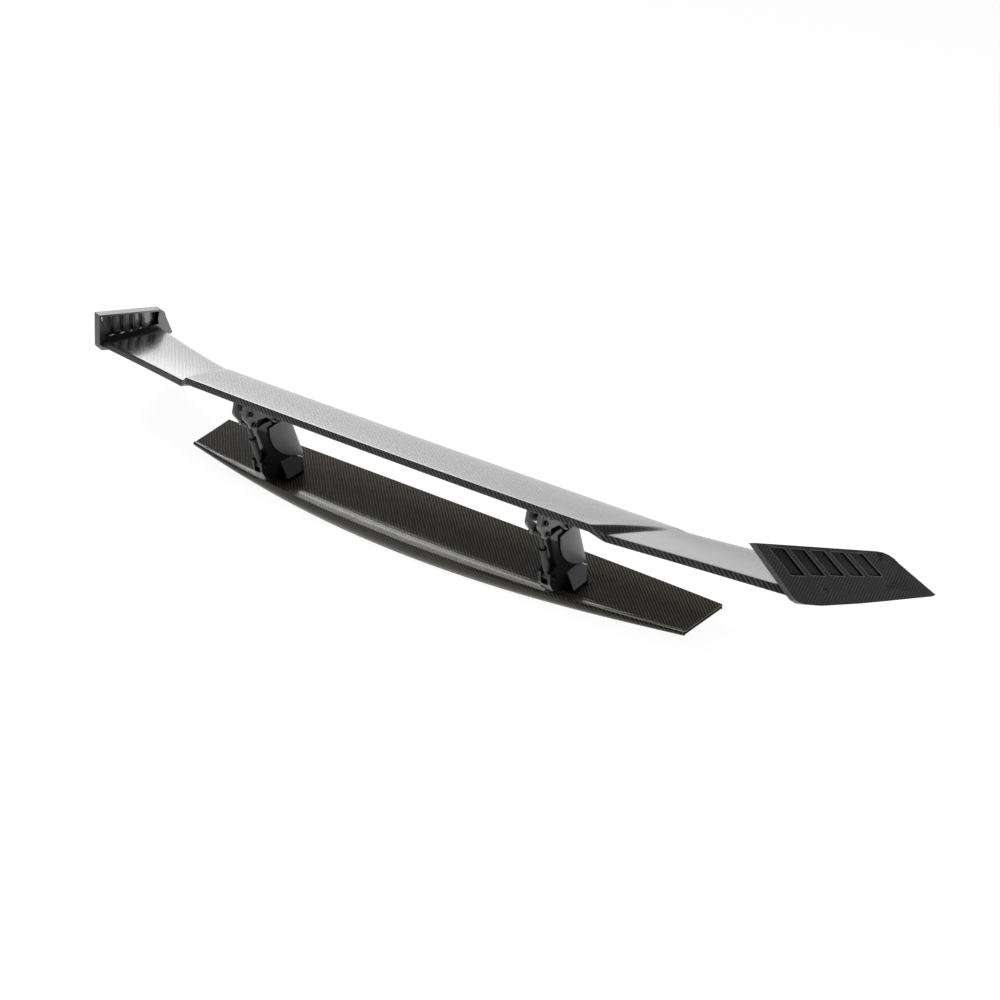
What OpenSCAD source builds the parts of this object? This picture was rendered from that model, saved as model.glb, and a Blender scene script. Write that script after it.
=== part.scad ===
// Rear wing for a track car: one pitched aerofoil on two towers over a deck panel.
// X runs across the car, +Y points to its nose and Z is up.
// The origin is on the deck's flat underside, midway across the car.

/* [Wing] */
// Angle between the wing and the deck, leading edge down
attack = 17.8; // [16:0.1:19]
// Height of the wing's rear reference line above the deck's underside
wing_z = 214; // [211:1:217]
// Rear reference line of the wing, measured from the origin
wing_y = -110; // [-112:1:-108]
// Half width of the raised centre section at the trailing edge
centre_half = 439; // [420:1:450]
// How far the centre section stands above the outer sections at the rear
step_height = 12; // [8:1:14]
// Chord of the centre section
centre_chord = 200; // [190:1:210]
// Height of the trailing edge
edge_height = 12; // [10:1:14]
// Thickness added at the middle of the chord
belly = 9; // [6:1:10]
// Wall of the wing skins
skin = 2; // [1.5:0.5:2.5]

/* [Endplates] */
// Length of an endplate along its straight top edge
plate_top = 275; // [260:1:285]
// Thickness of an endplate over its rim
plate_depth = 12; // [10:1:12]
// Wall of an endplate behind its louvres
plate_skin = 2.5; // [2:0.5:3]
// Distance from one louvre to the next
louvre_pitch = 44.5; // [42:0.5:45]

/* [Towers] */
// Distance from the middle of the car to each tower
stand_x = 325; // [300:1:340]
// Width of a tower
tower_w = 24; // [22:1:24]
// Diameter of the wing's pivot bolts
pivot_d = 8; // [6:1:8]
// Diameter of the strut bolts
strut_bolt_d = 6; // [5:1:6]

/* [Struts] */
// Outer diameter of a strut barrel
barrel_d = 13; // [12:0.5:13.5]
// Diameter of a strut rod
rod_d = 8; // [6:0.5:8]
// Clearance round the bolt at the top of a strut
open_play = 0.8; // [0.7:0.1:1]

/* [Deck] */
// Half length of the deck along its front edge
deck_half = 570; // [560:1:580]
// Distance from the origin to the deck's front edge
deck_front = 100; // [95:1:105]
// Height of the rear lip's crest in the middle
lip_height = 34; // [30:1:36]
// Distance across the car between the deck's fixing points
fix_x = 960; // [900:10:980]
// Distance along the car between the deck's fixing points
fix_y = 60; // [50:1:60]

/* [Hidden] */
$fn = 48;
e = 0.05;              // overlap that keeps cuts clean
gap = 0.3;             // air between separate pieces
SIDES = [-1, 1];

function mix(a, b, t) = a + (b - a) * t;

// ---- Shells: a strip of wall swept through stations -------------------------
// outer and inner are lists of stations, and each station is a list of points.
module shell(outer, inner) {
  m = len(outer);
  n = len(outer[0]);
  pts = concat([for (s = outer) each s], [for (s = inner) each s]);
  base = m * n;
  skin_faces = [for (j = [0:m - 2]) for (i = [0:n - 2]) each [
    [j * n + i, j * n + i + 1, (j + 1) * n + i + 1],
    [j * n + i, (j + 1) * n + i + 1, (j + 1) * n + i],
    [base + j * n + i, base + (j + 1) * n + i + 1, base + j * n + i + 1],
    [base + j * n + i, base + (j + 1) * n + i, base + (j + 1) * n + i + 1]]];
  end_faces = [for (j = [0, m - 1]) for (i = [0:n - 2]) each
    (j == 0
      ? [[j * n + i, base + j * n + i, base + j * n + i + 1],
         [j * n + i, base + j * n + i + 1, j * n + i + 1]]
      : [[j * n + i, base + j * n + i + 1, base + j * n + i],
         [j * n + i, j * n + i + 1, base + j * n + i + 1]])];
  lip_faces = [for (j = [0:m - 2]) each [
    [j * n, (j + 1) * n, base + (j + 1) * n],
    [j * n, base + (j + 1) * n, base + j * n],
    [j * n + n - 1, base + (j + 1) * n + n - 1, (j + 1) * n + n - 1],
    [j * n + n - 1, base + j * n + n - 1, base + (j + 1) * n + n - 1]]];
  polyhedron(pts, concat(skin_faces, end_faces, lip_faces));
}

// A solid bar through stations of four corners each.
module bar(stations) {
  m = len(stations);
  sides = [for (j = [0:m - 2]) for (i = [0:3]) each [
    [j * 4 + i, j * 4 + (i + 1) % 4, (j + 1) * 4 + (i + 1) % 4],
    [j * 4 + i, (j + 1) * 4 + (i + 1) % 4, (j + 1) * 4 + i]]];
  last = (m - 1) * 4;
  polyhedron([for (s = stations) each s],
    concat(sides, [[0, 3, 2], [0, 2, 1], [last, last + 1, last + 2], [last, last + 2, last + 3]]));
}

// ---- Wing frame: +Y along the chord to the leading edge, +Z out of the top ----
wing_pivot = [95.8, -36.4];      // main hinge under the wing
link_pivot = [35.6, -45.3];      // top of the struts
function world(p) = [wing_y + p[0] * cos(attack) + p[1] * sin(attack),
                     wing_z - p[0] * sin(attack) + p[1] * cos(attack)];
pivot = world(wing_pivot);
link_top = world(link_pivot);
link_foot = [-64, 62];
strut_vec = link_top - link_foot;
strut_len = norm(strut_vec);
strut_lean = atan2(-strut_vec[0], strut_vec[1]);

module on_wing() { translate([0, wing_y, wing_z]) rotate([-attack, 0, 0]) children(); }
module each_stand() { for (s = SIDES) translate([s * stand_x, 0, 0]) children(); }
module each_wing_stand() { on_wing() for (s = SIDES) translate([s * stand_x, 0, 0]) children(); }

// An upright slab: a (y, z) outline given a width about x = 0
module slab(w) { rotate([90, 0, 90]) translate([0, 0, -w / 2]) linear_extrude(w) children(); }
module rod_x(d, l) { rotate([0, 90, 0]) cylinder(d = d, h = l, center = true); }
module at(p) { translate([0, p[0], p[1]]) children(); }

// Endplate frame: +X along its top edge, +Y up the plate and +Z out of the car
plate_corner = [711, 0, 68];     // rear top corner of the outer face
plate_turn = [68.5, 4.8, 69.1];
plate_n = [0.880, -0.301, 0.365];
module on_plate() { on_wing() translate(plate_corner) rotate(plate_turn) children(); }

// ---- Wing sections -----------------------------------------------------------
step_half = 467;                 // foot of the step at the trailing edge
front_step = [503, 525];         // crest and foot of the step at the leading edge
sweep_rear = 72;                 // how far the tip moves forward at the trailing edge
tip_front = 323;                 // leading edge at the tip
centre_rear = -16;               // trailing edge beside the step
bow = 8;                         // how far the middle of the centre section sits back

// Span stations: 0 to 1 centre section, 1 to 2 step, 2 to 3 outer section
span = [0, 0.2, 0.4, 0.6, 0.8, 1, 1.2, 1.4, 1.6, 1.8, 2, 2.2, 2.4, 2.6, 2.8, 3];
function ease(t) = t * t * (3 - 2 * t);
function raised(s) = s <= 1 ? 1 : s >= 2 ? 0 : 1 - ease(s - 1);
function out(s) = max(0, s - 2);
function rear_v(s) = s <= 1 ? centre_rear - bow * (1 - s * s)
  : s <= 2 ? centre_rear * raised(s) : sweep_rear * out(s);
function front_v(s) = s <= 1 ? 182 - (182 - centre_chord + 24) * (1 - s * s)
  : s <= 2 ? 182 : mix(182, tip_front, 0.7 * out(s) + 0.3 * out(s) * out(s));
function rear_w(s) = step_height * raised(s) - 3 * out(s);
function front_w(s) = -2 + 1 * raised(s) - 7 * out(s);
function line_w(s, f) = mix(rear_w(s), front_w(s), f);
function nose(f) = sqrt(1 - pow(f, 10));
function thick(f) = (edge_height + belly * sin(180 * f)) * nose(f);
function top_w(s, f) = line_w(s, f) + 8 * f * (1 - f) - 6 * (1 - nose(f));
function low_w(s, f) = top_w(s, f) - thick(f);
function mid_w(s, f) = (top_w(s, f) + low_w(s, f)) / 2;
function half_in(f) = max(0, thick(f) / 2 - skin);

// Distance across the car of a point: the tips end flat against the endplates
function step_x(f) = mix(step_half, front_step[1], f);
function tip_x(v, w) = plate_corner[0]
  - (plate_depth + gap + plate_n[1] * v + plate_n[2] * (w - plate_corner[2])) / plate_n[0];
function wing_x(s, f, v, w) = s <= 1 ? s * mix(centre_half, front_step[0], f)
  : s <= 2 ? mix(mix(centre_half, front_step[0], f), step_x(f), s - 1)
  : mix(step_x(f), tip_x(v, w), out(s));
function wing_pt(s, f, v, w) = [sign(s) * wing_x(abs(s), f, v, w), v, w];
stations = concat([for (i = [len(span) - 1:-1:1]) -span[i]], span);

chord_n = 18;
chord_f = [for (i = [0:chord_n]) sin(90 * i / chord_n)];
function v_at(s, f) = mix(rear_v(s), front_v(s), f);
function v_in(s, f) = mix(rear_v(s) + skin, front_v(s) - skin - 0.5, f);

// Upper skin: flange down the trailing edge, then the top as far as the nose
function upper_out(s) = let (a = abs(s)) concat(
  [wing_pt(s, 0, rear_v(a), low_w(a, 0))],
  [wing_pt(s, 0, rear_v(a), top_w(a, 0) - 1.2)],
  [for (f = chord_f) wing_pt(s, f, v_at(a, f) + (f == 0 ? 1.2 : 0), top_w(a, f))]);
function upper_in(s) = let (a = abs(s)) concat(
  [wing_pt(s, 0, rear_v(a) + skin, low_w(a, 0))],
  [wing_pt(s, 0, rear_v(a) + skin, top_w(a, 0) - skin - 0.6)],
  [for (f = chord_f) wing_pt(s, f, v_in(a, f) + (f == 0 ? 0.6 : 0), mid_w(a, f) + half_in(f))]);
// Lower skin: from inside the flange to the nose
function low_v(s, f) = mix(rear_v(s) + skin + gap, front_v(s), f);
function lower_out(s) = let (a = abs(s)) [for (f = chord_f)
  wing_pt(s, f, low_v(a, f), low_w(a, f) - (f == 1 ? gap : 0))];
function lower_in(s) = let (a = abs(s)) [for (f = chord_f)
  wing_pt(s, f, mix(rear_v(a) + skin + gap, front_v(a) - skin - 0.5, f),
    mid_w(a, f) - half_in(f) - (f == 1 ? gap : 0))];

module wing_upper_skin() {
  color([0.13, 0.13, 0.14]) on_wing()
    shell([for (s = stations) upper_out(s)], [for (s = stations) upper_in(s)]);
}

module wing_lower_skin() {
  color([0.10, 0.10, 0.11]) difference() {
    on_wing() shell([for (s = stations) lower_in(s)], [for (s = stations) lower_out(s)]);
    each_wing_stand() for (b = flange_bolts) translate([b[0], b[1], -30]) cylinder(d = 5.6, h = 26);
  }
}

// Spars: closed bars between the skins, from f0 to f1 of the chord
function spar_corner(s, f, up) = let (a = abs(s))
  wing_pt(s, f, v_in(a, f), mid_w(a, f) + up * (half_in(f) - 1));
function spar_ring(s, f0, f1) = [spar_corner(s, f0, -1), spar_corner(s, f1, -1),
                                 spar_corner(s, f1, 1), spar_corner(s, f0, 1)];
spar_stations = [for (s = stations) if (abs(s) < 2.9) s];
module wing_front_spar() {
  color([0.16, 0.16, 0.17]) on_wing() bar([for (s = spar_stations) spar_ring(s, 0.70, 0.78)]);
}
module wing_rear_spar() {
  color([0.16, 0.16, 0.17]) on_wing() bar([for (s = spar_stations) spar_ring(s, 0.08, 0.14)]);
}

// Blocks between the spars that take the bracket bolts
flange_bolts = [for (x = [-20, 20]) for (v = [32, 100]) [x, v]];
hard_span = [22, 112];
function stand_f(v) = (v - rear_v(stand_x / centre_half)) /
  (front_v(stand_x / centre_half) - rear_v(stand_x / centre_half));
function under(v) = low_w(1, stand_f(v));
module wing_hardpoints() {
  color("silver") each_wing_stand() difference() {
    slab(56) polygon(concat(
      [for (v = [hard_span[0]:10:hard_span[1]]) [v, under(v) + skin + 1]],
      [for (v = [hard_span[1]:-10:hard_span[0]]) [v, under(v) + skin + 10]]));
    for (b = flange_bolts) translate([b[0], b[1], -40]) cylinder(d = 5, h = 60);
  }
}

// ---- Endplates -----------------------------------------------------------------
plate_tip = [422, -63];
louvre_lean = 39.4;              // the louvres lean as the rear edge does
louvre_n = 5;
louvre_start = 79;               // lower rear corner of the first opening
louvre_open = 34;                // length of one opening
blade_run = 28;                  // how far a blade reaches along the plate
blade_t = 1.6;
blade_sink = 4.2;                // how far a blade stops below the outer face
louvre_low = -45;
louvre_high = -4;
screw_spots = [[158, -63.2], [303, -53.8]];
rib_depth = 8;

// Outline of the plate: straight edges with two rounded corners
module plate_outline(inset = 0) {
  offset(delta = -inset) polygon(concat(
    [[0, 0], [plate_top, 1]],
    [for (a = [0:10:40]) [plate_top + 86 * sin(a), 1 - 86 * (1 - cos(a)) * 0.86]],
    [plate_tip, [413, -66], [300, -77], [236, -83], [150, -89]],
    [for (a = [0:15:45]) [111 - 40 * sin(a), -88 + 40 * (1 - cos(a))]]));
}
// Recess in the inner face, above the wing's tip
module plate_recess() {
  polygon([[14, -5], [282, -3], [296, -20], [318, -36], [200, -47], [84, -54]]);
}
// One louvre opening in the skin behind the recess
module louvre_window(i) {
  run = (louvre_high - louvre_low) / tan(louvre_lean);
  x0 = louvre_start + i * louvre_pitch;
  y0 = louvre_low + i * 1.6;     // the row climbs a little towards the front
  y1 = louvre_high;
  polygon([[x0, y0], [x0 - run, y1], [x0 - run + louvre_open, y1], [x0 + louvre_open, y0]]);
}
// Blade that rises from behind one lip to the outer face at the next
module louvre_blade(i) {
  x0 = louvre_start + i * louvre_pitch;
  depth = plate_depth - 1;
  intersection() {
    translate([x0, louvre_low, 0]) rotate([0, 0, -louvre_lean])
      rotate([90, 0, 90]) translate([0, 0, -90]) linear_extrude(120)
        polygon([[-6, -depth], [3, -depth], [blade_run, -blade_t - blade_sink], [blade_run, 0],
          [blade_run - 1.5, 0], [blade_run - 1.5, -blade_sink], [3, blade_t - depth],
          [-6, blade_t - depth]]);
    translate([0, louvre_low - 2, -20]) cube([400, louvre_high - louvre_low + 4, 30]);
  }
}
module endplate() {
  difference() {
    union() {
      difference() {
        translate([0, 0, -plate_depth]) linear_extrude(plate_depth) plate_outline();
        translate([0, 0, -plate_depth - e]) linear_extrude(plate_depth - plate_skin + e)
          plate_recess();
        for (i = [0:louvre_n - 1]) translate([0, 0, -plate_skin - 1])
          linear_extrude(plate_skin + 2) louvre_window(i);
      }
      intersection() {
        union() for (i = [0:louvre_n - 1]) louvre_blade(i);
        translate([0, 0, -plate_depth]) linear_extrude(plate_depth) plate_recess();
      }
    }
    for (p = screw_spots) translate([p[0], p[1], -plate_depth - 1]) {
      cylinder(d = 5.4, h = plate_depth + 2);
      translate([0, 0, plate_depth - 1.9]) cylinder(d1 = 5.4, d2 = 11.2, h = 2.91);
    }
  }
}
module endplate_right() { color([0.12, 0.12, 0.13]) on_plate() endplate(); }
module endplate_left() { color([0.12, 0.12, 0.13]) mirror([1, 0, 0]) on_plate() endplate(); }

module endplate_screws() {
  color("dimgray") for (s = [0, 1]) mirror([s, 0, 0]) on_plate()
    for (p = screw_spots) translate([p[0], p[1], 0]) difference() {
      union() {
        translate([0, 0, -2.7]) cylinder(d1 = 5, d2 = 10.2, h = 2.6);
        translate([0, 0, -plate_depth - rib_depth]) cylinder(d = 5, h = plate_depth + rib_depth - 2);
      }
      translate([0, 0, -1.8]) cylinder(d = 3.5, h = 3, $fn = 6);
    }
}
// Ribs inside the wing's tips, tapped for the endplate screws
module tip_ribs() {
  color("silver") for (s = [0, 1]) mirror([s, 0, 0]) on_plate() difference() {
    translate([0, 0, -plate_depth - 2 - rib_depth]) linear_extrude(rib_depth)
      polygon([[145, -68.6], [314, -56], [314, -51.6], [145, -61.6]]);
    for (p = screw_spots) translate([p[0], p[1], -plate_depth - 20]) cylinder(d = 5.1, h = 30);
  }
}

// ---- Brackets under the wing ------------------------------------------------------
cheek_t = 6;
cheek_in = 8.5;                  // inner face of each cheek
bracket_w = 2 * (cheek_in + cheek_t);
spacer_at = [22.5, -24.3];
module ring_lug(p, r) { translate(p) circle(r = r); }
module cheek_outline() {
  difference() {
    union() {
      polygon(concat([for (v = [6:12:114]) [v, under(v) - gap - 2]],
        [[112, -26], [100, -40], [88, -42], [70, -34], [46, -37],
          [44, -46], [27, -46], [10, -34], [6, -28]]));
      ring_lug(link_pivot, 8.5);
      ring_lug(wing_pivot, 10);
    }
    ring_lug(link_pivot, strut_bolt_d / 2 + 0.02);
    ring_lug(wing_pivot, pivot_d / 2 + 0.02);
    ring_lug(spacer_at, 3.1);
  }
}
module bracket() {
  difference() {
    union() {
      for (s = SIDES) translate([s * (cheek_in + cheek_t / 2), 0, 0]) slab(cheek_t) cheek_outline();
      slab(bracket_w) polygon(concat([for (v = [6:6:114]) [v, under(v) - gap]],
        [for (v = [114:-6:6]) [v, under(v) - gap - 4]]));
      slab(52) polygon(concat([for (v = [22:6:112]) [v, under(v) - gap]],
        [for (v = [112:-6:22]) [v, under(v) - gap - 4]]));
    }
    for (b = flange_bolts) translate([b[0], b[1], -40]) cylinder(d = 6.6, h = 60);
    // shallow recess in the outer face of each cheek's rear lobe
    for (s = SIDES) translate([s * bracket_w / 2, 0, 0]) slab(3)
      polygon([[11, -12], [11, -28], [14, -31], [16.5, -30], [16.5, -12]]);
  }
}
module bracket_right() { color([0.32, 0.32, 0.33]) on_wing() translate([stand_x, 0, 0]) bracket(); }
module bracket_left() { color([0.32, 0.32, 0.33]) on_wing() translate([-stand_x, 0, 0]) bracket(); }

// Button-head bolt pointing up: head below z = 0
module flange_bolt(d, l) {
  difference() {
    union() {
      translate([0, 0, -3.3]) cylinder(d1 = 1.3 * d, d2 = 1.75 * d, h = 3.3);
      cylinder(d = d, h = l);
    }
    translate([0, 0, -4]) cylinder(d = 4.5, h = 2.5, $fn = 6);
  }
}
module bracket_bolts() {
  color("dimgray") each_wing_stand() for (b = flange_bolts)
    translate([b[0], b[1], under(b[1]) - gap - 5.2]) flange_bolt(4.9, 14);
}
module bracket_spacers() {
  color("silver") each_wing_stand() at(spacer_at) difference() {
    rod_x(10, 2 * cheek_in - 0.1);
    rod_x(6.3, 40);
  }
}
// Cap screw across the bracket: head on the right cheek, nut on the left
module cross_bolt(d, w, head, nut = true) {
  rod_x(d, w + 2 * e);
  translate([w / 2, 0, 0]) rotate([0, 90, 0]) difference() {
    cylinder(d = head, h = d * 0.8);
    translate([0, 0, d * 0.35]) cylinder(d = d * 0.95, h = d, $fn = 6);
  }
  if (nut) translate([-w / 2, 0, 0]) rotate([0, -90, 0]) cylinder(d = head * 1.1, h = d * 0.7, $fn = 6);
}
module spacer_bolts() {
  color("black") each_wing_stand() at(spacer_at) cross_bolt(6, bracket_w + 0.2, 10);
}
module strut_upper_bolts() {
  color("black") each_wing_stand() at(link_pivot) cross_bolt(strut_bolt_d, bracket_w + 0.2, 10);
}
module pivot_bolts() {
  color("dimgray") each_wing_stand() at(wing_pivot) {
    cross_bolt(pivot_d, bracket_w + 0.2, 13, false);
    translate([-bracket_w / 2 - 4, 0, 0]) rod_x(pivot_d - 1.4, 10);
  }
}
module pivot_nuts() {
  color("silver") each_wing_stand() at(wing_pivot)
    translate([-bracket_w / 2 - 0.2, 0, 0]) rotate([0, -90, 0]) difference() {
      cylinder(d = 14, h = 6.5, $fn = 6);
      translate([0, 0, -1]) cylinder(d = pivot_d - 1.2, h = 12);
    }
}

// ---- Struts -----------------------------------------------------------------------
eye_w = 12;
barrel_top = 58;
module on_strut(s) {
  translate([s * stand_x, link_foot[0], link_foot[1]]) rotate([strut_lean, 0, 0]) children();
}
module strut_barrel() {
  difference() {
    union() {
      rod_x(16, eye_w);
      translate([0, 0, 5]) cylinder(d = barrel_d, h = barrel_top - 5);
    }
    rod_x(strut_bolt_d + 0.12, eye_w + 2);
    translate([0, 0, 10]) cylinder(d = rod_d + 0.16, h = barrel_top);
  }
}
module strut_rod() {
  difference() {
    union() {
      translate([0, 0, 24]) cylinder(d = rod_d, h = strut_len - 30);
      translate([0, 0, strut_len]) rod_x(17, eye_w);
    }
    translate([0, 0, strut_len]) rod_x(strut_bolt_d + 2 * open_play, eye_w + 2);
  }
}
module strut_barrel_left() { color("black") on_strut(-1) strut_barrel(); }
module strut_barrel_right() { color("black") on_strut(1) strut_barrel(); }
module strut_rod_left() { color("black") on_strut(-1) strut_rod(); }
module strut_rod_right() { color("black") on_strut(1) strut_rod(); }
// Wiper ring that closes a barrel
module strut_gland() {
  translate([0, 0, barrel_top + 0.1]) difference() {
    cylinder(d = barrel_d + 1, h = 5);
    translate([0, 0, -1]) cylinder(d = rod_d + 0.16, h = 8);
  }
}
module strut_gland_left() { color("silver") on_strut(-1) strut_gland(); }
module strut_gland_right() { color("silver") on_strut(1) strut_gland(); }

// ---- Towers -------------------------------------------------------------------------
deck_flat = 13;                  // deck height under the towers
foot_z = deck_flat + 1.4;        // towers stand on a 1 mm gasket
foot_bolts = [[-19, -17], [19, -17], [-17, 15], [17, 15]];
bolt_depth = 10;                 // how far the bolts reach into a foot
// Plan of the foot: wide at the rear and blunt at the front
module foot_plan(grow = 0) {
  hull() {
    for (s = SIDES) translate([s * (24 + grow), -19]) circle(r = 7, $fn = 32);
    for (s = SIDES) translate([s * (20 + grow), 14]) circle(r = 9, $fn = 32);
    for (s = SIDES) translate([s * (12 + grow), 27]) circle(r = 8, $fn = 32);
  }
}
module tower_outline() {
  polygon([[-76, 147], [-60, 149], [-44, 147], [-16, 146], [-12, 120], [-6, 84], [8, 50],
    [8, 18], [-26, 18], [-40, 24], [-66, 35], [-75, 52], [-75, 72], [-57, 82]]);
}
// Solid base, undercut at the front: a side, a front and a plan outline that cut one another
pedestal_low = foot_z + 4.9;
pedestal_top = 54;
module pedestal() {
  intersection() {
    slab(80) polygon([[-40, pedestal_low], [30, pedestal_low], [40, 34], [36, 38],
      [-2, pedestal_top], [-38, pedestal_top]]);
    rotate([90, 0, 0]) translate([0, 0, -60]) linear_extrude(120)
      polygon([[-27, pedestal_low], [27, pedestal_low],
        [tower_w / 2 - 1, pedestal_top], [1 - tower_w / 2, pedestal_top]]);
    translate([0, 0, foot_z]) linear_extrude(60)
      polygon([[-27, -24], [27, -24], [27, 14], [16, 33], [-16, 33], [-27, 14]]);
  }
}
// Slot that the strut works in, seen from the side
slot_w = eye_w + 1.6;
module strut_slot() {
  translate(link_foot) circle(r = 11);
  translate(link_foot) rotate(strut_lean) translate([-30, -11]) square([40, 110]);
}
lug_w = 16;
module tower() {
  difference() {
    union() {
      slab(tower_w) tower_outline();
      at(pivot) rod_x(22, lug_w);
      translate([0, 0, foot_z]) linear_extrude(5) foot_plan();
      pedestal();
      at(link_foot) rod_x(20, tower_w);
    }
    // the pivot lug fits between the bracket's cheeks
    at(pivot) for (s = SIDES) translate([s * (lug_w / 2 + 5), 0, 0]) rod_x(28, 10);
    for (s = SIDES) translate([s * (lug_w / 2 + 5) - 5, pivot[0] - 14, pivot[1]])
      cube([10, 60, 40]);
    at(pivot) rod_x(12, 60);
    slab(slot_w) strut_slot();
    at(link_foot) rod_x(strut_bolt_d, 60);
    for (b = foot_bolts) translate([b[0], b[1], 0]) cylinder(d = 5, h = foot_z + bolt_depth + 1);
  }
}
module tower_left() { color([0.06, 0.06, 0.07]) translate([-stand_x, 0, 0]) tower(); }
module tower_right() { color([0.06, 0.06, 0.07]) translate([stand_x, 0, 0]) tower(); }
module tower_gaskets() {
  color([0.15, 0.15, 0.15]) each_stand() translate([0, 0, deck_flat + 0.2]) difference() {
    linear_extrude(1) foot_plan();
    for (b = foot_bolts) translate([b[0], b[1], -1]) cylinder(d = 6.8, h = 4);
  }
}
// Countersunk bolts that come up through the deck into the feet
plate_low = 2.2;                 // underside of the plates inside the deck
module tower_bolts() {
  color("dimgray") each_stand() for (b = foot_bolts) translate([b[0], b[1], plate_low]) difference() {
    union() {
      translate([0, 0, 0.3]) cylinder(d1 = 10.6, d2 = 4.9, h = 2.9);
      translate([0, 0, 0.3]) cylinder(d = 4.9, h = foot_z + bolt_depth - plate_low - 0.3);
    }
    translate([0, 0, -e]) cylinder(d = 4, h = 2.4, $fn = 6);
  }
}
module pivot_bushes() {
  color("peru") each_stand() at(pivot) difference() {
    rod_x(11.96, 16.4);
    rod_x(pivot_d + 0.1, 20);
  }
}
module strut_lower_bolts() {
  color("black") each_stand() at(link_foot) cross_bolt(strut_bolt_d - 0.04, tower_w + 0.2, 10);
}

// Nose fairing: a leaf-shaped shell bonded round the front of the tower
fair_low = 39;
fair_brow = 136;                 // the shell stands clear of the pivot above this height
fair_top = 150;
fair_n = 14;
fair_half = 15.8;
function fair_nose(z) = mix(50, 15, (z - 36) / 105);
function fair_rear(z) = z > fair_brow ? -16
  : mix(-50, 45, pow(1 - (z - fair_low) / (fair_brow - fair_low), 2.8) * 0.93);
function fair_x(y, z, t) = let (y0 = -25, u = max(0, (y - y0) / (fair_nose(z) - t - y0)))
  (fair_half - t) * sqrt(max(0, 1 - u * u));
function fair_ring(z, t) = let (r = fair_rear(z), n = fair_nose(z) - t) [for (i = [-fair_n:fair_n])
  let (y = mix(n, r, 1 - cos(90 * i / fair_n))) [sign(i) * fair_x(y, z, t), y, z]];
fair_z = concat([for (i = [0:14]) mix(fair_low, fair_brow, i / 14)], [fair_brow + 2, fair_top]);
module fairing() {
  shell([for (z = fair_z) fair_ring(z, 0)], [for (z = fair_z) fair_ring(z, 2)]);
}
module fairing_left() { color([0.30, 0.31, 0.32]) translate([-stand_x, 0, 0]) fairing(); }
module fairing_right() { color([0.30, 0.31, 0.32]) translate([stand_x, 0, 0]) fairing(); }

// ---- Deck panel ---------------------------------------------------------------------
deck_rear_half = 558;
deck_wall = 2;
deck_n = 28;
function crest_y(u) = -89 + 78 * u * u;          // u runs from -1 to 1 across the deck
function crest_z(u) = mix(lip_height, 12, u * u);
function deck_x(u, y) = u * mix(deck_rear_half, deck_half, (y + 14) / (deck_front + 14));
function rise_from(u) = crest_y(u) + 8 + 56 * pow(1 - u * u, 1.5);
function deck_top(u, y) = let (t = max(0, (rise_from(u) - y) / (rise_from(u) - crest_y(u))))
  mix(deck_flat - 3 * u * u * u * u, crest_z(u), pow(t, 1.7));
function lip_y(u, k) = crest_y(u) - 4 * sin(180 * k) + 7 * (1 - k) * (1 - k);
function deck_path(u, t) = concat(
  [for (k = [0:0.2:1]) let (y = lip_y(u, k) + t) [deck_x(u, y), y, mix(1, crest_z(u) - t * k, k)]],
  [for (i = [1:20]) let (y = mix(crest_y(u) + t, deck_front - t, i / 20))
    [deck_x(u, y), y, (deck_top(u, y) - t) + (y > 70 ? 0.02 * (y - 70) : 0)]],
  [let (y = deck_front - t) [deck_x(u, y), y, 1]]);
deck_u = [for (i = [0:deck_n]) -1 + 2 * i / deck_n];
module deck_upper_skin() {
  color([0.20, 0.19, 0.17]) difference() {
    shell([for (u = deck_u) deck_path(u, 0)], [for (u = deck_u) deck_path(u, deck_wall)]);
    each_stand() for (b = foot_bolts) translate([b[0], b[1], 5]) cylinder(d = 6.6, h = 20);
  }
}

// Fixing points of the deck, and the holes that a driver reaches the tower bolts through
fix_points = [for (x = [-1, 1]) for (y = [-1, 1]) [x * fix_x / 2, 50 + y * fix_y / 2]];
module deck_plan(inset) {
  polygon(concat(
    [for (u = deck_u) let (y = lip_y(u, 0) + inset) [deck_x(u, y) * (1 - inset / 600), y]],
    [for (s = [1, -1]) [s * (deck_half - inset), deck_front - inset]]));
}
module deck_lower_skin() {
  color([0.12, 0.12, 0.12]) difference() {
    linear_extrude(1.8) deck_plan(2.6);
    for (p = fix_points) translate([p[0], p[1], -1]) cylinder(d = 10.6, h = 4);
    each_stand() for (b = foot_bolts) translate([b[0], b[1], -1]) cylinder(d = 12, h = 4);
  }
}
rib_x = [-440, -200, 0, 200, 440];
module deck_ribs() {
  color([0.14, 0.14, 0.15]) for (x = rib_x) translate([x, 0, 0]) slab(4)
    polygon(concat([[88, 2.2], [-20, 2.2]], [for (y = [-20:12:88]) [y, deck_flat - 3.4]]));
}
module deck_inserts() {
  color("goldenrod") for (p = fix_points) translate([p[0], p[1], 0]) difference() {
    union() {
      cylinder(d = 10, h = 1.9);
      translate([0, 0, 2]) cylinder(d = 14, h = 1.5);
      cylinder(d = 9, h = 8);
    }
    translate([0, 0, -1]) cylinder(d = 5, h = 12);
  }
}
// Tapped plates inside the deck that the towers are bolted to
module stand_plates() {
  color("silver") each_stand() difference() {
    translate([-29, -28, plate_low]) cube([58, 56, 7]);
    for (b = foot_bolts) translate([b[0], b[1], plate_low]) {
      translate([0, 0, -1]) cylinder(d = 5.4, h = 20);
      translate([0, 0, -e]) cylinder(d1 = 11.6, d2 = 5.4, h = 3.3);
    }
  }
}

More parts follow.
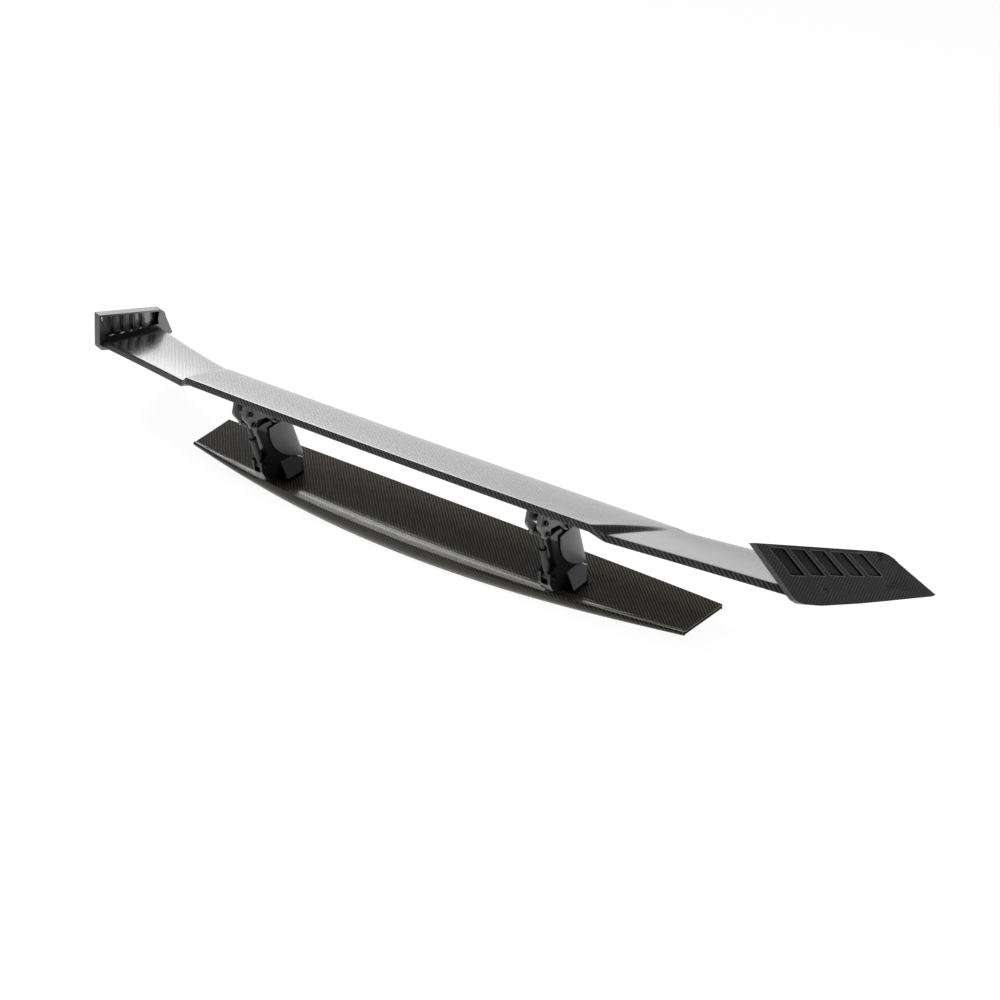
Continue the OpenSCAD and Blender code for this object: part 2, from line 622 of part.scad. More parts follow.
deck_upper_skin();
deck_lower_skin();
deck_ribs();
deck_inserts();
stand_plates();
tower_gaskets();
tower_left();
tower_right();
tower_bolts();
fairing_left();
fairing_right();
pivot_bushes();
strut_lower_bolts();
wing_upper_skin();
wing_lower_skin();
wing_front_spar();
wing_rear_spar();
wing_hardpoints();
tip_ribs();
endplate_left();
endplate_right();
endplate_screws();
bracket_left();
bracket_right();
bracket_bolts();
bracket_spacers();
spacer_bolts();
pivot_bolts();
pivot_nuts();
strut_upper_bolts();
strut_barrel_left();
strut_barrel_right();
strut_rod_left();
strut_rod_right();
strut_gland_left();
strut_gland_right();
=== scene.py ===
# Looks for the racing rear wing: materials, softened edges, fine shells and a pale studio.
# Objects are in metres in the CAD frame: X across the car, +Y to its nose, +Z up. Outlines are
# worked out in millimetres from the CAD's own dimensions, and are scaled when a mesh is made.
import bpy
import math
from mathutils import Euler, Matrix, Vector

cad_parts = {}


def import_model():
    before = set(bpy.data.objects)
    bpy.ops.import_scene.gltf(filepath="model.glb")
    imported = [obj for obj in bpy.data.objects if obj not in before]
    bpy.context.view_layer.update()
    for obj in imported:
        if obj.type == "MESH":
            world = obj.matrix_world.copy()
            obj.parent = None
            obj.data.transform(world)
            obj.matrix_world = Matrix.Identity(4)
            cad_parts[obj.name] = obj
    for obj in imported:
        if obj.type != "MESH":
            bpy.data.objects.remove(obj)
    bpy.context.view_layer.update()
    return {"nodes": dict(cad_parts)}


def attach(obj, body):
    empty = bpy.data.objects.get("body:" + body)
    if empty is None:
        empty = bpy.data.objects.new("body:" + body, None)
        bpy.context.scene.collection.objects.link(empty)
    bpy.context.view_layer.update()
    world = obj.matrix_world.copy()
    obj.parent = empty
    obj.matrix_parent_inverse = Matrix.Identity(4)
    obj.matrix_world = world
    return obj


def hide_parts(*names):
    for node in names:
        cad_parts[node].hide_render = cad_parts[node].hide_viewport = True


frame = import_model()
NODES = frame["nodes"]
MM = 0.001
SIDES = ("left", "right")

# The wing's own frame: v runs forward along the chord and w stands up from it
WING_TILT = math.radians(17.8)
WING_Y, WING_Z = -110.0, 214.0
# The right endplate's own frame, as it stands in the wing's: its rear top corner and its turn
PLATE_CORNER = (711.0, 0.0, 68.0)
PLATE_TURN = [math.radians(a) for a in (68.5, 4.8, 69.1)]


# ---- Shared helpers -----------------------------------------------------------------
def between(a, b, t):
    return a * (1 - t) + b * t


def side_sign(side):
    return -1 if side == "left" else 1


def on_wing(x, v, w):
    """A point of the wing's own frame, in the whole object's."""
    cosine, sine = math.cos(WING_TILT), math.sin(WING_TILT)
    return (x, WING_Y + v * cosine + w * sine, WING_Z - v * sine + w * cosine)


def add_object(name, data):
    made = bpy.data.objects.new(name, data)
    bpy.context.scene.collection.objects.link(made)
    return made


def soften(piece, width, segments, angle):
    """Rounds the edges that turn by more than the angle, which is in degrees."""
    soft = piece.modifiers.new("soft_edges", "BEVEL")
    soft.width = width
    soft.segments = segments
    soft.limit_method = "ANGLE"
    soft.angle_limit = math.radians(angle)


def shell(name, outer, inner):
    """A closed wall between two grids of points, in millimetres."""
    rows, columns = len(outer), len(outer[0])
    points = [p for ring in outer + inner for p in ring]
    base = rows * columns
    faces = []
    for j in range(rows - 1):
        for i in range(columns - 1):
            a, b = j * columns + i, (j + 1) * columns + i
            faces.append((a, a + 1, b + 1, b))
            faces.append((base + a, base + b, base + b + 1, base + a + 1))
        for i, turn in ((0, 1), (columns - 1, -1)):
            a, b = j * columns + i, (j + 1) * columns + i
            faces.append((a, b, base + b, base + a)[::turn])
    for j, turn in ((0, -1), (rows - 1, 1)):
        for i in range(columns - 1):
            a = j * columns + i
            faces.append((a, a + 1, base + a + 1, base + a)[::turn])
    mesh = bpy.data.meshes.new(name)
    mesh.from_pydata([tuple(c * MM for c in p) for p in points], [], faces)
    mesh.update()
    mesh.shade_smooth()
    return add_object(name, mesh)


# ---- Shader helpers -----------------------------------------------------------------
NOISE_ROUGHNESS = 0.55


class Net:
    """A node tree. Each call adds nodes to it and gives their output."""

    def __init__(self, tree):
        self.tree = tree

    def node(self, kind, **settings):
        made = self.tree.nodes.new(kind)
        for key, value in settings.items():
            setattr(made, key, value)
        return made

    def put(self, value, socket):
        """Links an output to a socket, or sets a plain value on it."""
        if isinstance(value, bpy.types.NodeSocket):
            self.tree.links.new(value, socket)
        else:
            socket.default_value = value

    def math(self, operation, *values):
        made = self.node("ShaderNodeMath", operation=operation)
        for socket, value in zip(made.inputs, values):
            self.put(value, socket)
        return made.outputs[0]

    def times(self, a, b):
        return self.math("MULTIPLY", a, b)

    def plus(self, a, b):
        return self.math("ADD", a, b)

    def minus(self, a, b):
        return self.math("SUBTRACT", a, b)

    def mix(self, factor, a, b):
        """Number a where factor is 0, and b where it is 1."""
        made = self.node("ShaderNodeMix", data_type="FLOAT")
        self.put(factor, made.inputs["Factor"])
        self.put(a, made.inputs[2])
        self.put(b, made.inputs[3])
        return made.outputs[0]

    def ramp(self, value, start, end):
        """0 at start, 1 at end and beyond it, and a smooth change between them."""
        made = self.node("ShaderNodeMapRange", interpolation_type="SMOOTHSTEP")
        self.put(value, made.inputs["Value"])
        self.put(start, made.inputs["From Min"])
        self.put(end, made.inputs["From Max"])
        return made.outputs["Result"]

    def tint(self, factor, dark, light):
        """A colour between dark and light."""
        made = self.node("ShaderNodeMix", data_type="RGBA")
        self.put(factor, made.inputs["Factor"])
        self.put((*dark, 1), made.inputs[6])
        self.put((*light, 1), made.inputs[7])
        return made.outputs[2]

    def parts(self, vector):
        split = self.node("ShaderNodeSeparateXYZ")
        self.put(vector, split.inputs[0])
        return split.outputs

    def coordinates(self, kind, turning, turn):
        coords = self.node("ShaderNodeTexCoord")
        turned = self.node("ShaderNodeMapping", vector_type=turning)
        self.put(turn, turned.inputs["Rotation"])
        self.put(coords.outputs[kind], turned.inputs["Vector"])
        return turned.outputs["Vector"]

    def place(self, turn=(0, 0, 0)):
        """Object coordinates in metres, turned into a surface's own frame."""
        return self.coordinates("Object", "POINT", turn)

    def facing(self, turn=(0, 0, 0)):
        """The surface's own direction, turned as place() turns a point."""
        return self.coordinates("Normal", "NORMAL", turn)

    def noise(self, vector, scale, detail):
        """Noise from 0 to 1 with about scale waves to a metre."""
        made = self.node("ShaderNodeTexNoise")
        self.put(vector, made.inputs["Vector"])
        self.put(scale, made.inputs["Scale"])
        self.put(detail, made.inputs["Detail"])
        self.put(NOISE_ROUGHNESS, made.inputs["Roughness"])
        return made.outputs["Fac"]


class Finish(Net):
    """The node tree of a new material, which ends in one shader."""

    def __init__(self, name):
        self.material = bpy.data.materials.new(name)
        self.material.use_nodes = True
        super().__init__(self.material.node_tree)
        self.shader = self.tree.nodes["Principled BSDF"]

    def set(self, **values):
        """Sets or links the shader's sockets, named with _ for each space."""
        for key, value in values.items():
            self.put(value, self.shader.inputs[key.replace("_", " ")])

    def bump(self, height, distance, strength=1.0):
        made = self.node("ShaderNodeBump")
        self.put(height, made.inputs["Height"])
        self.put(distance, made.inputs["Distance"])
        self.put(strength, made.inputs["Strength"])
        self.put(made.outputs["Normal"], self.shader.inputs["Normal"])


# ---- Kinds of material --------------------------------------------------------------
DRIFT_WAVES, DRIFT_TOWS = 45, 1.6           # how often the tows wander, and by how many tows
CLOTH_DEPTH, CLOTH_BUMP = 0.10 * MM, 0.6
WEFT_TONE, WEFT_ROUGH = 0.25, 0.12          # the crossing tows are painted darker, as painted sheen, and are rougher
PATCH_WAVES, PATCH_TONE = 55, (0.6, 1.3)    # slow changes in the cloth's tone
GLINT_WAVES, GLINT_TONE = 700, (0.3, 1.5)   # changes from fibre to fibre
# Where a face's direction has a y below REAR_FACING it is a rear edge, darkened as painted shade;
# where its part along the cloth's normal is below IN_PLANE it has left the cloth's plane, and is
# darkened as painted shade of recesses and side walls
REAR_FACING, IN_PLANE = -0.25, 0.992
COATED_GLOSS, BARE_GLOSS = 0.2, 0.5         # gloss of paint under a clear coat, and without one
CLOUD_WAVES, CLOUD_TONE, CLOUD_ROUGH = 32, (0.72, 1.28), 0.07
TOOL_PITCH, TOOL_DEPTH, TOOL_BUMP = 0.35 * MM, 0.01 * MM, 0.4
METAL_WAVES, METAL_TONE, METAL_ROUGH = 90, 0.8, 0.08


def scaled(colour, share):
    return tuple(share * c for c in colour)


def flat_pair(net, turn):
    """Two coordinates in the plane that a surface faces, so no side is smeared."""
    x, y, z = net.parts(net.place(turn))
    nx, ny, nz = (net.math("ABSOLUTE", n) for n in net.parts(net.facing(turn)))
    side = net.math("GREATER_THAN", nx, net.math("MAXIMUM", ny, nz))
    end = net.times(net.math("GREATER_THAN", ny, nz), net.minus(1.0, side))
    return net.mix(side, x, y), net.mix(net.math("MAXIMUM", side, end), y, z)


def twill(net, turn, tow, slant):
    """A 2x2 twill: each tow passes over two and under two, one step on in each row.
    Gives the cloth's height, and 1 where the warp is on top or 0 where the weft is."""
    drift = net.times(net.noise(net.place(), DRIFT_WAVES, 3), DRIFT_TOWS * tow)
    u, v = (net.plus(flat, drift) for flat in flat_pair(net, turn))
    cosine, sine = math.cos(slant), math.sin(slant)
    a = net.math("DIVIDE", net.plus(net.times(u, cosine), net.times(v, sine)), tow)
    b = net.math("DIVIDE", net.minus(net.times(v, cosine), net.times(u, sine)), tow)
    step = net.math("FLOORED_MODULO", net.plus(net.math("FLOOR", a), net.math("FLOOR", b)), 4.0)
    warp = net.math("LESS_THAN", step, 2.0)
    fa, fb = net.math("FRACT", a), net.math("FRACT", b)
    across = net.mix(warp, fb, fa)
    along = net.times(net.mix(warp, net.plus(net.minus(step, 2.0), fa), net.plus(step, fb)), 0.5)
    round_tow = net.math("SINE", net.times(across, math.pi))
    crimp = net.math("SINE", net.times(along, math.pi))
    return net.times(round_tow, net.mix(crimp, 0.5, 1.0)), warp


def carbon(name, dark, light, tow, turn=(0, 0, 0), slant=0.0, coat=1.0, coat_rough=0.05,
           rough=0.36, gloss=0.12, rear=1.0, inner=1.0):
    """Clear-coated twill. The coat stays smooth over the cloth's bumps. The cloth's tone is
    multiplied by rear where it turns down a rear edge, as painted shade, and by inner where it
    leaves its plane, as painted shade of recesses and side walls."""
    net = Finish(name)
    height, warp = twill(net, turn, tow, slant)
    where = net.place()
    # Weft tows are painted darker than warp tows: painted sheen, standing in for reflection that
    # changes with the tows' direction
    shade = net.times(height, net.mix(warp, WEFT_TONE, 1.0))
    shade = net.times(shade, net.mix(net.noise(where, PATCH_WAVES, 4), *PATCH_TONE))
    shade = net.times(shade, net.mix(net.noise(where, GLINT_WAVES, 2), *GLINT_TONE))
    facing = net.parts(net.facing(turn))
    if rear != 1.0:
        # Rear-facing faces get painted shade: their tone is multiplied by rear
        rear_shade_mask = net.math("LESS_THAN", facing[1], REAR_FACING)
        shade = net.times(shade, net.mix(rear_shade_mask, 1.0, rear))
    if inner != 1.0:
        # Faces out of the cloth's plane, such as louvre blades and side walls, get painted shade: their
        # tone is multiplied by inner
        in_plane = net.math("GREATER_THAN", net.math("ABSOLUTE", facing[2]), IN_PLANE)
        shade = net.times(shade, net.mix(in_plane, inner, 1.0))
    net.set(Base_Color=net.tint(shade, dark, light), Roughness=net.mix(warp, rough, rough + WEFT_ROUGH),
            Specular_IOR_Level=gloss, Coat_Weight=coat, Coat_Roughness=coat_rough)
    net.bump(height, CLOTH_DEPTH, CLOTH_BUMP)
    return net.material


def painted(name, colour, rough, grain, depth, coat=0.0, coat_rough=0.05, metal=0.0):
    """Paint or anodising: a fine surface grain, with cloudy wear in tone and gloss."""
    net = Finish(name)
    where = net.place()
    cloud = net.noise(where, CLOUD_WAVES, 4)
    net.set(Base_Color=net.tint(cloud, *(scaled(colour, tone) for tone in CLOUD_TONE)),
            Metallic=metal, Roughness=net.mix(cloud, rough - CLOUD_ROUGH, rough + CLOUD_ROUGH),
            Specular_IOR_Level=COATED_GLOSS if coat else BARE_GLOSS,
            Coat_Weight=coat, Coat_Roughness=coat_rough)
    net.bump(net.noise(where, grain, 2), depth)
    return net.material


def machined(name, colour, rough):
    """Bare metal with the fine lines that a tool leaves across X."""
    net = Finish(name)
    where = net.place()
    lines = net.math("SINE", net.times(net.parts(where)[0], 2 * math.pi / TOOL_PITCH))
    cloud = net.noise(where, METAL_WAVES, 3)
    net.set(Base_Color=net.tint(cloud, scaled(colour, METAL_TONE), colour), Metallic=1.0,
            Roughness=net.mix(cloud, rough - METAL_ROUGH, rough + METAL_ROUGH))
    net.bump(lines, TOOL_DEPTH, TOOL_BUMP)
    return net.material


# ---- The wing's materials -----------------------------------------------------------
WING_TURN = (WING_TILT, 0, 0)
PLATE_SLANT = math.radians(100)


def plate_turn(side):
    """Turn that lays an endplate's own frame on the axes; the left plate is the mirror image."""
    stand = Euler((-WING_TILT, 0, 0)).to_matrix() @ Euler(PLATE_TURN).to_matrix()
    if side == "left":
        flip = Matrix.Diagonal((-1, 1, 1))
        stand = flip @ stand @ flip
    return tuple(stand.inverted().to_euler("XYZ"))


def plate_carbon(side):
    # inner=0.25 paints shade on the louvre blades and on the plate's side walls
    return carbon("plate_carbon_" + side, (0.002, 0.002, 0.002), (0.075, 0.072, 0.068), 2.2 * MM,
                  turn=plate_turn(side), slant=side_sign(side) * PLATE_SLANT, coat=0.5,
                  coat_rough=0.10, inner=0.25)


wing_carbon = carbon("wing_carbon", (0.004, 0.004, 0.004), (0.085, 0.084, 0.088), 2.4 * MM,
                     turn=WING_TURN, coat_rough=0.19)
# A lighter copy of the wing's carbon for the rear band and the wing's underside: its pale tows are
# painted brighter, as painted light on faces that the lamps hardly reach
edge_carbon_painted_light = carbon("edge_carbon_painted_light", (0.001, 0.001, 0.001), (0.24, 0.235, 0.23), 2.1 * MM,
                     turn=WING_TURN, coat=0.22, coat_rough=0.07)
plate_carbons = {side: plate_carbon(side) for side in SIDES}
# rear=0.35 paints shade on the rear-facing faces of the deck's lip
deck_carbon = carbon("deck_carbon", (0.004, 0.0035, 0.0025), (0.44, 0.385, 0.30), 1.9 * MM,
                     coat=0.3, rear=0.35)
laminate = carbon("inner_laminate", (0.008, 0.008, 0.008), (0.05, 0.05, 0.05), 2.4 * MM,
                  slant=math.pi / 4, coat=0.0, rough=0.62, gloss=0.4)
tower_black = painted("tower_black", (0.008, 0.008, 0.009), 0.34, 900, 0.02 * MM, coat=0.6)
strut_black = painted("strut_black", (0.010, 0.010, 0.010), 0.42, 1400, 0.015 * MM)
fairing_grey = painted("fairing_grey", (0.135, 0.137, 0.142), 0.38, 1500, 0.015 * MM)
bracket_grey = painted("bracket_grey", (0.16, 0.16, 0.165), 0.4, 1800, 0.02 * MM)
bolt_black = painted("bolt_black", (0.018, 0.018, 0.019), 0.36, 2600, 0.01 * MM, metal=0.4)
lip_black = painted("lip_black", (0.03, 0.03, 0.031), 0.3, 900, 0.01 * MM, coat=1.0, coat_rough=0.12)
rubber = painted("gasket_rubber", (0.02, 0.02, 0.02), 0.8, 1300, 0.03 * MM)
aluminium = machined("bare_aluminium", (0.78, 0.78, 0.79), 0.3)
bronze = machined("bronze", (0.62, 0.42, 0.22), 0.34)


# ---- CAD nodes that stay ------------------------------------------------------------
NODE_LOOKS = {
    edge_carbon_painted_light: ["wing_lower_skin"],
    plate_carbons["left"]: ["endplate_left"],
    plate_carbons["right"]: ["endplate_right"],
    deck_carbon: ["deck_upper_skin"],
    laminate: ["deck_lower_skin", "deck_ribs", "wing_front_spar", "wing_rear_spar"],
    tower_black: ["tower_left", "tower_right"],
    strut_black: ["strut_barrel_left", "strut_barrel_right", "strut_rod_left", "strut_rod_right"],
    bracket_grey: ["bracket_left", "bracket_right"],
    bolt_black: ["tower_bolts", "strut_lower_bolts", "endplate_screws", "bracket_bolts",
                 "spacer_bolts", "pivot_bolts", "pivot_nuts", "strut_upper_bolts",
                 "strut_gland_left", "strut_gland_right"],
    rubber: ["tower_gaskets"],
    aluminium: ["stand_plates", "wing_hardpoints", "tip_ribs", "bracket_spacers"],
    bronze: ["deck_inserts", "pivot_bushes"],
}
# Radius of the softened edges, for each kind of node that has them
SOFT_EDGES = {"tower": 1.2 * MM, "bracket": 0.5 * MM, "endplate": 0.6 * MM}
WELD_REACH = 0.004 * MM


def finish_node(name, material):
    """Gives a CAD node its material and, where it has them, its softened edges."""
    node = NODES[name]
    node.data.materials.clear()
    node.data.materials.append(material)
    for kind, width in SOFT_EDGES.items():
        if name in (kind + "_left", kind + "_right"):
            node.modifiers.new("weld", "WELD").merge_threshold = WELD_REACH
            soften(node, width, segments=2, angle=38)


for material, names in NODE_LOOKS.items():
    for name in names:
        finish_node(name, material)


# ---- Fairings: fine leaf-shaped shells with a rounded rim ---------------------------
STAND_X = 325.0                     # each tower's distance from the middle
FAIR_LOW, FAIR_BROW, FAIR_TOP = 39.0, 136.0, 150.0
FAIR_HALF, FAIR_WALL = 15.8, 2.0
NOSE_FOOT, NOSE_HEAD = (50.0, 36.0), (15.0, 141.0)      # two points, y and z, of the nose's line
LEAF_BACK, LEAF_FRONT = -50.0, 45.0                     # the curved rear edge runs between these
LEAF_POWER, LEAF_SHARE = 2.8, 0.93
BROW_BACK = -16.0                   # above the brow the shell stands clear of the pivot
WIDEST_Y = -25.0
LEAF_ROWS, BROW_ROWS, HALF_COLUMNS = 48, 7, 22
LOW_ROWS_CLOSER = 1.35              # above 1, the rows lie closer together where the edge curves
RIM_RADIUS = 0.9 * MM


def fair_nose(z):
    return between(NOSE_FOOT[0], NOSE_HEAD[0], (z - NOSE_FOOT[1]) / (NOSE_HEAD[1] - NOSE_FOOT[1]))


def fair_rear(z):
    if z > FAIR_BROW:
        return BROW_BACK
    climb = (z - FAIR_LOW) / (FAIR_BROW - FAIR_LOW)
    return between(LEAF_BACK, LEAF_FRONT, max(0.0, 1 - climb) ** LEAF_POWER * LEAF_SHARE)


def fair_ring(z, inset):
    """One level of the shell, from the left rear edge round the nose to the right one."""
    nose_y = fair_nose(z) - inset
    ring = []
    for i in range(-HALF_COLUMNS, HALF_COLUMNS + 1):
        y = between(nose_y, fair_rear(z), 1 - math.cos(math.pi / 2 * i / HALF_COLUMNS))
        along = max(0.0, (y - WIDEST_Y) / (nose_y - WIDEST_Y))
        x = (FAIR_HALF - inset) * math.sqrt(max(0.0, 1 - along * along))
        ring.append((math.copysign(x, i) if i else 0.0, y, z))
    return ring


def fairing(side):
    levels = [between(FAIR_LOW, FAIR_BROW, (i / LEAF_ROWS) ** LOW_ROWS_CLOSER)
              for i in range(LEAF_ROWS + 1)]
    levels += [between(FAIR_BROW, FAIR_TOP, (i + 1) / BROW_ROWS) for i in range(BROW_ROWS)]
    stand = side_sign(side) * STAND_X
    outer, inner = ([[(x + stand, y, z) for x, y, z in fair_ring(z, inset)] for z in levels]
                    for inset in (0.0, FAIR_WALL))
    piece = shell("fairing_shell_" + side, outer, inner)
    soften(piece, RIM_RADIUS, segments=3, angle=50)
    piece.data.materials.append(fairing_grey)
    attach(piece, "deck")
    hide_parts("fairing_" + side)


for side in SIDES:
    fairing(side)


# ---- Wing top: the CAD sections on a finer grid, with a rounded rear corner ---------
# A section's place s runs out from the middle: 1 is the crest of the step, 2 its foot and 3 the
# tip. Along the chord, f runs from 0 at the rear edge to 1 at the nose.
CENTRE_REAR, REAR_BOW, TIP_REAR = -16.0, 8.0, 72.0
CENTRE_FRONT, FRONT_BOW, TIP_FRONT = 182.0, 6.0, 323.0
SWEEP_LINE, SWEEP_CURVE = 0.7, 0.3          # shares of the front edge's sweep
CENTRE_HALF, STEP_HALF, FRONT_STEP = 439.0, 467.0, (503.0, 525.0)
STEP_HEIGHT, FRONT_STEP_HEIGHT, FRONT_LOW = 12.0, 1.0, 2.0
REAR_FALL, FRONT_FALL = 3.0, 7.0            # how far the edges fall from the step to the tip
CAMBER, NOSE_DROP, NOSE_POWER = 8.0, 6.0, 10
EDGE_HEIGHT, BELLY, SKIN, NOSE_SPARE = 12.0, 9.0, 2.0, 0.5
PLATE_NORMAL, PLATE_DEPTH, GAP = (0.880, -0.301, 0.365), 12.0, 0.3
CORNER_OUTSIDE, CORNER_INSIDE = 1.6, 0.8    # radii of the rear corner
FLANGE_ROWS, CORNER_ROWS, CHORD_ROWS = 5, 5, 40
CENTRE_SPANS, STEP_SPANS, OUTER_SPANS = 10, 20, 12


def past_step(s):
    return max(0.0, s - 2)


def raised(s):
    """1 on the raised centre, 0 past the step, and a smooth fall between."""
    t = min(max(s - 1, 0.0), 1.0)
    return 1 - t * t * (3 - 2 * t)


def rear_v(s):
    if s <= 1:
        return CENTRE_REAR - REAR_BOW * (1 - s * s)
    return CENTRE_REAR * raised(s) if s <= 2 else TIP_REAR * past_step(s)


def front_v(s):
    if s <= 1:
        return CENTRE_FRONT - FRONT_BOW * (1 - s * s)
    out = past_step(s)
    return between(CENTRE_FRONT, TIP_FRONT, SWEEP_LINE * out + SWEEP_CURVE * out * out)


def line_w(s, f):
    """Height of the straight line from the rear edge to the nose."""
    rear = STEP_HEIGHT * raised(s) - REAR_FALL * past_step(s)
    front = FRONT_STEP_HEIGHT * raised(s) - FRONT_LOW - FRONT_FALL * past_step(s)
    return between(rear, front, f)


def nose(f):
    """1 over most of the chord, falling to 0 round the nose."""
    return math.sqrt(max(0.0, 1 - f ** NOSE_POWER))


def thick(f):
    return (EDGE_HEIGHT + BELLY * math.sin(math.pi * f)) * nose(f)


def top_w(s, f):
    return line_w(s, f) + CAMBER * f * (1 - f) - NOSE_DROP * (1 - nose(f))


def plate_x(v, w):
    """Where the wing ends, just short of the endplate's inner face."""
    corner_x, corner_v, corner_w = PLATE_CORNER
    slope = PLATE_NORMAL[1] * (v - corner_v) + PLATE_NORMAL[2] * (w - corner_w)
    return corner_x - (PLATE_DEPTH + GAP + slope) / PLATE_NORMAL[0]


def wing_pt(s, f, v, w):
    a = abs(s)
    crest, foot = between(CENTRE_HALF, FRONT_STEP[0], f), between(STEP_HALF, FRONT_STEP[1], f)
    if a <= 1:
        x = a * crest
    elif a <= 2:
        x = between(crest, foot, a - 1)
    else:
        x = between(foot, plate_x(v, w), a - 2)
    return on_wing(math.copysign(x, s), v, w)


def wing_ring(s, inside):
    """Flange up the rear edge, the rounded corner, then the top as far as the nose."""
    a = abs(s)
    wall, spare, radius = (SKIN, NOSE_SPARE, CORNER_INSIDE) if inside else (0.0, 0.0, CORNER_OUTSIDE)
    rear, front, top = rear_v(a) + wall, front_v(a) - wall - spare, top_w(a, 0)
    ring = [wing_pt(s, 0, rear, between(top - thick(0), top - wall - radius, i / FLANGE_ROWS))
            for i in range(FLANGE_ROWS)]
    for i in range(CORNER_ROWS):
        turn = math.pi / 2 * i / (CORNER_ROWS - 1)
        ring.append(wing_pt(s, 0, rear + radius * (1 - math.cos(turn)),
                            top - wall - radius * (1 - math.sin(turn))))
    for i in range(1, CHORD_ROWS + 1):
        f = math.sin(math.pi / 2 * i / CHORD_ROWS)
        w = top_w(a, f)
        if inside:
            w -= min(thick(f) / 2, SKIN)
        ring.append(wing_pt(s, f, between(rear + radius, front, f), w))
    return ring


def wing_top():
    half = [i / CENTRE_SPANS for i in range(CENTRE_SPANS)]
    half += [1 + i / STEP_SPANS for i in range(STEP_SPANS)]
    half += [2 + i / OUTER_SPANS for i in range(OUTER_SPANS + 1)]
    spans = [-s for s in reversed(half[1:])] + half
    outer, inner = ([wing_ring(s, inside) for s in spans] for inside in (False, True))
    piece = shell("wing_top_shell", outer, inner)
    piece.data.materials.append(wing_carbon)
    piece.data.materials.append(edge_carbon_painted_light)
    columns, corner_end = len(outer[0]), FLANGE_ROWS + CORNER_ROWS - 1
    # The rear flange and rounded corner take the edge carbon, whose pale tows carry painted light
    for face in piece.data.polygons:
        on_edge = max(i % columns for i in face.vertices) < corner_end
        face.material_index = int(on_edge)
    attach(piece, "wing")
    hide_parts("wing_upper_skin")


wing_top()


# ---- Endplates: a rolled lip round each louvre --------------------------------------
LOUVRES, LOUVRE_START, LOUVRE_PITCH, LOUVRE_OPEN = 5, 79.0, 44.5, 34.0
LOUVRE_LOW, LOUVRE_HIGH, LOUVRE_LEAN = -45.0, -4.0, math.radians(39.4)
LOUVRE_CLIMB = 1.6                  # each opening starts this much higher than the one behind it
LIP_RADIUS, LIP_SUNK, LIP_CORNER, LIP_STEPS = 0.9 * MM, 0.5, 2.5, 4


def rounded(corners, reach, steps):
    """A closed outline with each corner rounded over the given reach."""
    path = []
    for k, corner in enumerate(corners):
        here = Vector(corner)
        back = (Vector(corners[k - 1]) - here).normalized() * reach
        ahead = (Vector(corners[(k + 1) % len(corners)]) - here).normalized() * reach
        for i in range(steps + 1):
            t = i / steps
            path.append(here + back * (1 - t) ** 2 + ahead * t ** 2)
    return path


def louvre(i):
    """Corners of one opening, in the endplate's own frame."""
    x, low = LOUVRE_START + i * LOUVRE_PITCH, LOUVRE_LOW + i * LOUVRE_CLIMB
    run = (LOUVRE_HIGH - LOUVRE_LOW) / math.tan(LOUVRE_LEAN)
    return [(x, low), (x - run, LOUVRE_HIGH), (x - run + LOUVRE_OPEN, LOUVRE_HIGH),
            (x + LOUVRE_OPEN, low)]


def louvre_lips(side):
    stand = Euler(PLATE_TURN).to_matrix()
    curve = bpy.data.curves.new("louvre_lips_" + side, "CURVE")
    curve.dimensions = "3D"
    curve.bevel_depth = LIP_RADIUS
    curve.bevel_resolution = 3
    curve.materials.append(lip_black)
    for i in range(LOUVRES):
        path = rounded(louvre(i), LIP_CORNER, LIP_STEPS)
        spline = curve.splines.new("POLY")
        spline.points.add(len(path) - 1)
        spline.use_cyclic_u = True
        for point, spot in zip(spline.points, path):
            x, y, z = on_wing(*(Vector(PLATE_CORNER) + stand @ Vector((*spot, -LIP_SUNK))))
            point.co = (side_sign(side) * x * MM, y * MM, z * MM, 1)
    lips = add_object("louvre_lips_" + side, curve)
    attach(lips, "wing")


for side in SIDES:
    louvre_lips(side)


# ---- Studio -------------------------------------------------------------------------
EYE, EYE_TURN, LENS = (1.6633, -2.0465, 1.6101), (59.6, 0.0, 35.94), 61.2
ROOM_GLOW, SWEEP_GLOW = 0.05, 2.15
# Where the white sweep starts and is full, in the direction's own z, y and x, and how bright its
# two ends are beside its middle
SWEEP_UP, SWEEP_BEYOND = (0.34, 0.13), (0.0, 0.6)
SWEEP_LEFT, LEFT_TONE = (-0.3, -0.72), 1.7
SWEEP_RIGHT, RIGHT_TONE = (0.5, 0.1), 0.15
FLOOR_GLOW = 0.93                   # the floor is lit from below, as a light table is
FLOOR_REACH, FLOOR_Z = 16.0, -0.0006


def camera():
    data = bpy.data.cameras.new("camera")
    data.lens = LENS
    data.sensor_width = 36
    data.clip_end = 60
    eye = add_object("camera", data)
    eye.location = EYE
    eye.rotation_euler = [math.radians(a) for a in EYE_TURN]
    bpy.context.scene.camera = eye


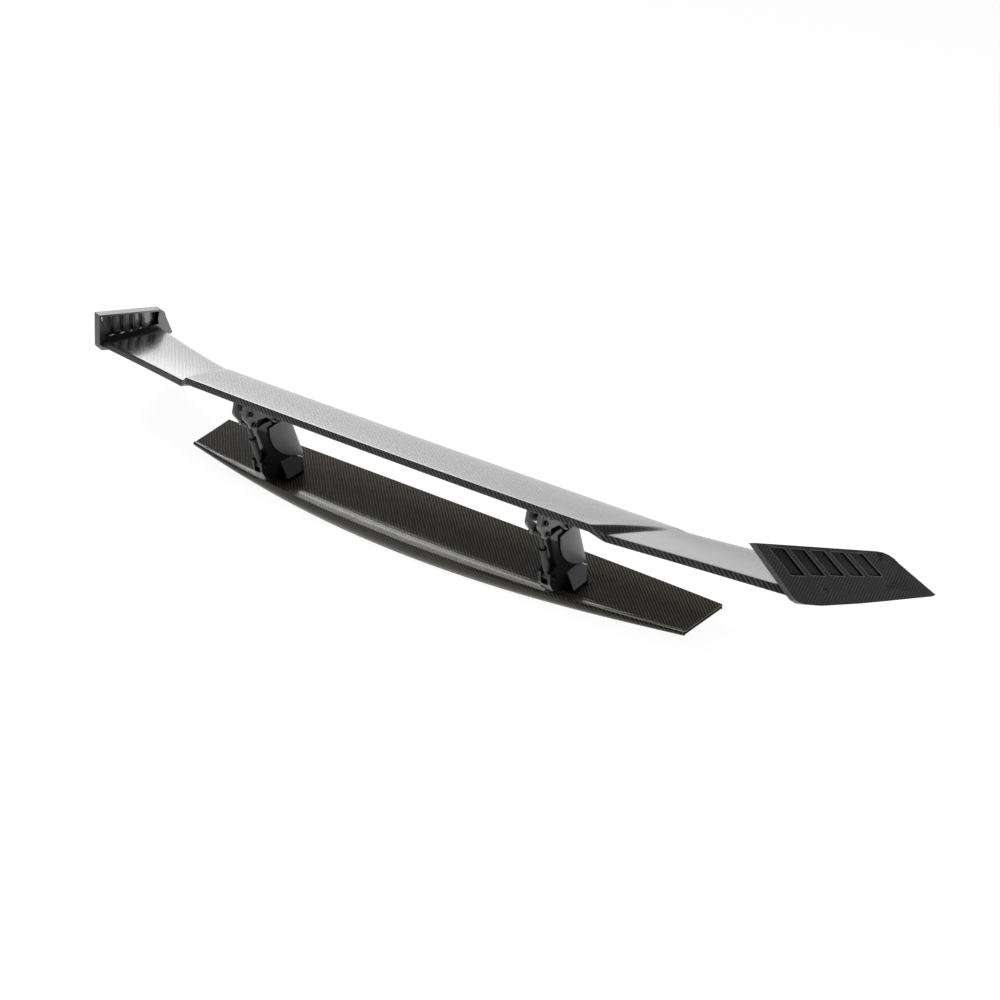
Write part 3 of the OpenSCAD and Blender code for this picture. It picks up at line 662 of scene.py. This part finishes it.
def world():
    """A dark room with a white sweep beyond the wing, brightest to the left."""
    studio = bpy.data.worlds.new("studio")
    bpy.context.scene.world = studio
    studio.use_nodes = True
    net = Net(studio.node_tree)
    x, y, z = net.parts(net.node("ShaderNodeTexCoord").outputs["Generated"])
    sweep = net.times(net.ramp(z, *SWEEP_UP), net.ramp(y, *SWEEP_BEYOND))
    left = net.mix(net.ramp(x, *SWEEP_LEFT), 1.0, LEFT_TONE)
    right = net.mix(net.ramp(x, *SWEEP_RIGHT), RIGHT_TONE, 1.0)
    glow = net.times(net.times(net.times(sweep, left), right), SWEEP_GLOW)
    back = studio.node_tree.nodes["Background"]
    net.put((1.0, 1.0, 1.0, 1.0), back.inputs["Color"])
    net.put(net.plus(glow, ROOM_GLOW), back.inputs["Strength"])


def floor():
    mesh = bpy.data.meshes.new("floor")
    corners = [(FLOOR_REACH * x, FLOOR_REACH * y, FLOOR_Z)
               for x, y in ((-1, -1), (1, -1), (1, 1), (-1, 1))]
    mesh.from_pydata(corners, [], [(0, 1, 2, 3)])
    net = Finish("floor_white")
    net.set(Base_Color=(0.35, 0.35, 0.36, 1), Roughness=0.95, Specular_IOR_Level=0.0,
            Emission_Color=(1, 1, 1, 1), Emission_Strength=FLOOR_GLOW)
    mesh.materials.append(net.material)
    add_object("floor", mesh)


def softbox(name, place, target, size, radiance):
    """A flat lamp of the given size whose face shines with the given radiance."""
    data = bpy.data.lights.new(name, "AREA")
    data.shape = "RECTANGLE"
    data.size, data.size_y = size
    data.energy = radiance * math.pi * size[0] * size[1]
    lamp = add_object(name, data)
    lamp.location = place
    lamp.rotation_euler = (Vector(target) - Vector(place)).to_track_quat("-Z", "Y").to_euler()


camera()
world()
floor()
softbox("overhead", place=(-0.9, -0.4, 3.2), target=(-0.9, -0.4, 0), size=(3.6, 1.6), radiance=2.2)
softbox("side", place=(3.0, -0.6, 1.5), target=(0.3, 0, 0.1), size=(0.5, 1.6), radiance=6.0)
bpy.context.scene.view_settings.view_transform = "Standard"
